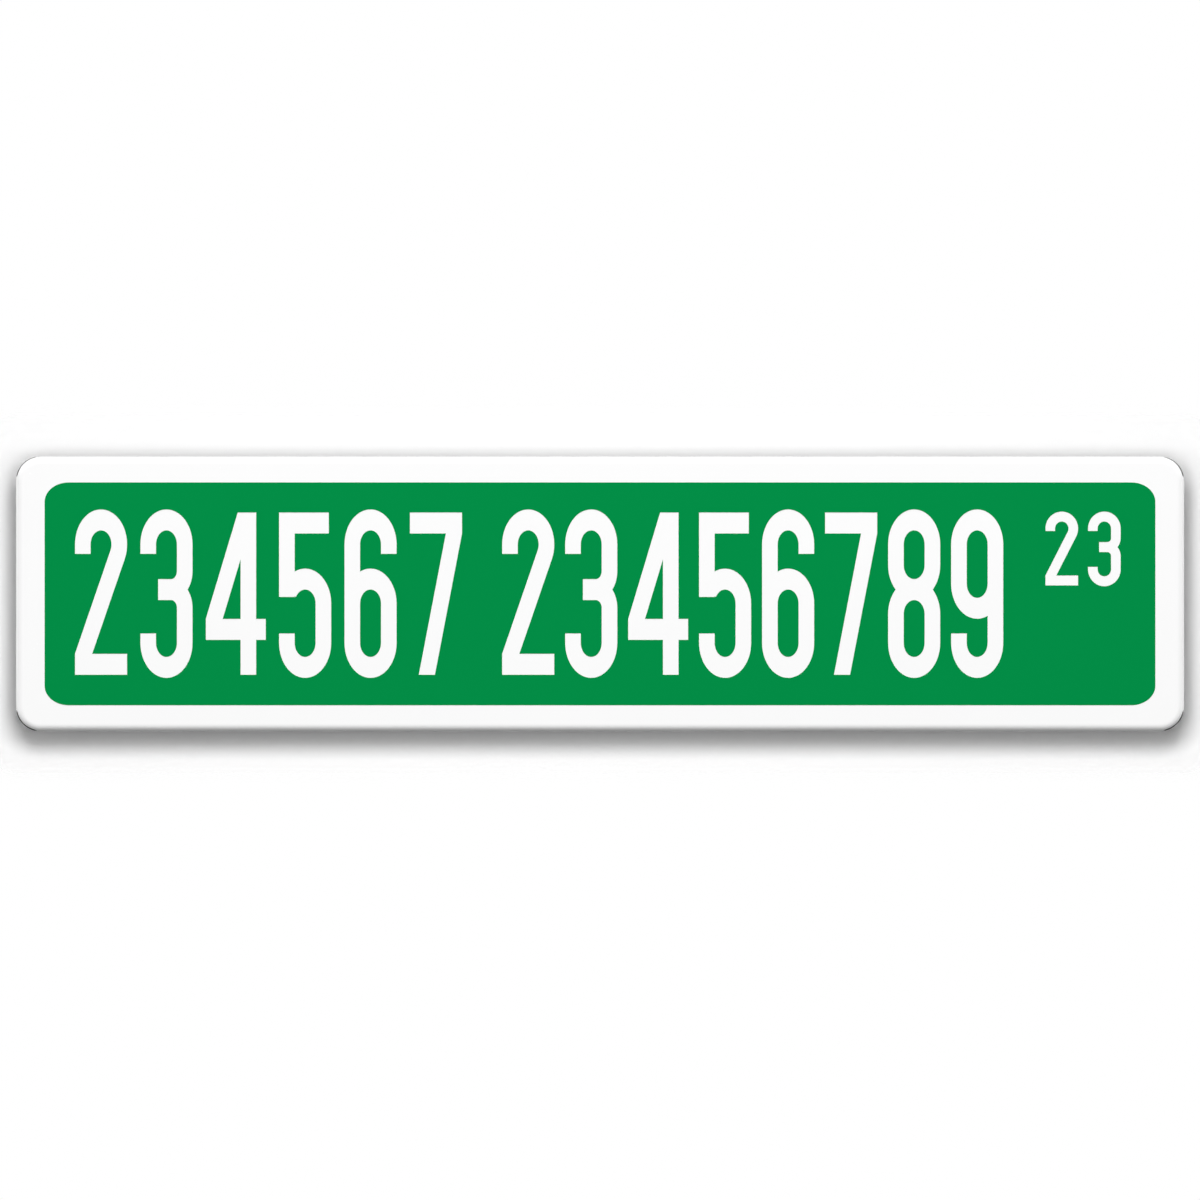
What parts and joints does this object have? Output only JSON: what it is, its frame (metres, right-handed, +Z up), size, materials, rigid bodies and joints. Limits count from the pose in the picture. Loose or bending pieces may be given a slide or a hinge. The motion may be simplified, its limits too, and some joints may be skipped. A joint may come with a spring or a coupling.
{
  "type": "street name sign",
  "caption": "Long low plate pressed from thin sheet with its edge turned back all round, and a coloured name field inside a plain border, for fixing flat on a wall or board.",
  "frame": {"origin": "centre of the panel's flat back, inside the turned edge, where the sign is fastened", "axes": "+X along the sign's length, to the reader's right; +Y out of the back, towards the wall; +Z up, as the sign is read"},
  "size_m": [0.4318, 0.0041, 0.1016],
  "materials": {
    "white_plate": "glossy white coating on the face and the turned edge, bare mill finish on the back",
    "green_print": "gloss green film"
  },
  "bodies": {
    "root": {"sign_plate": "white_plate", "green_field": "green_print"}
  },
  "joints": []
}
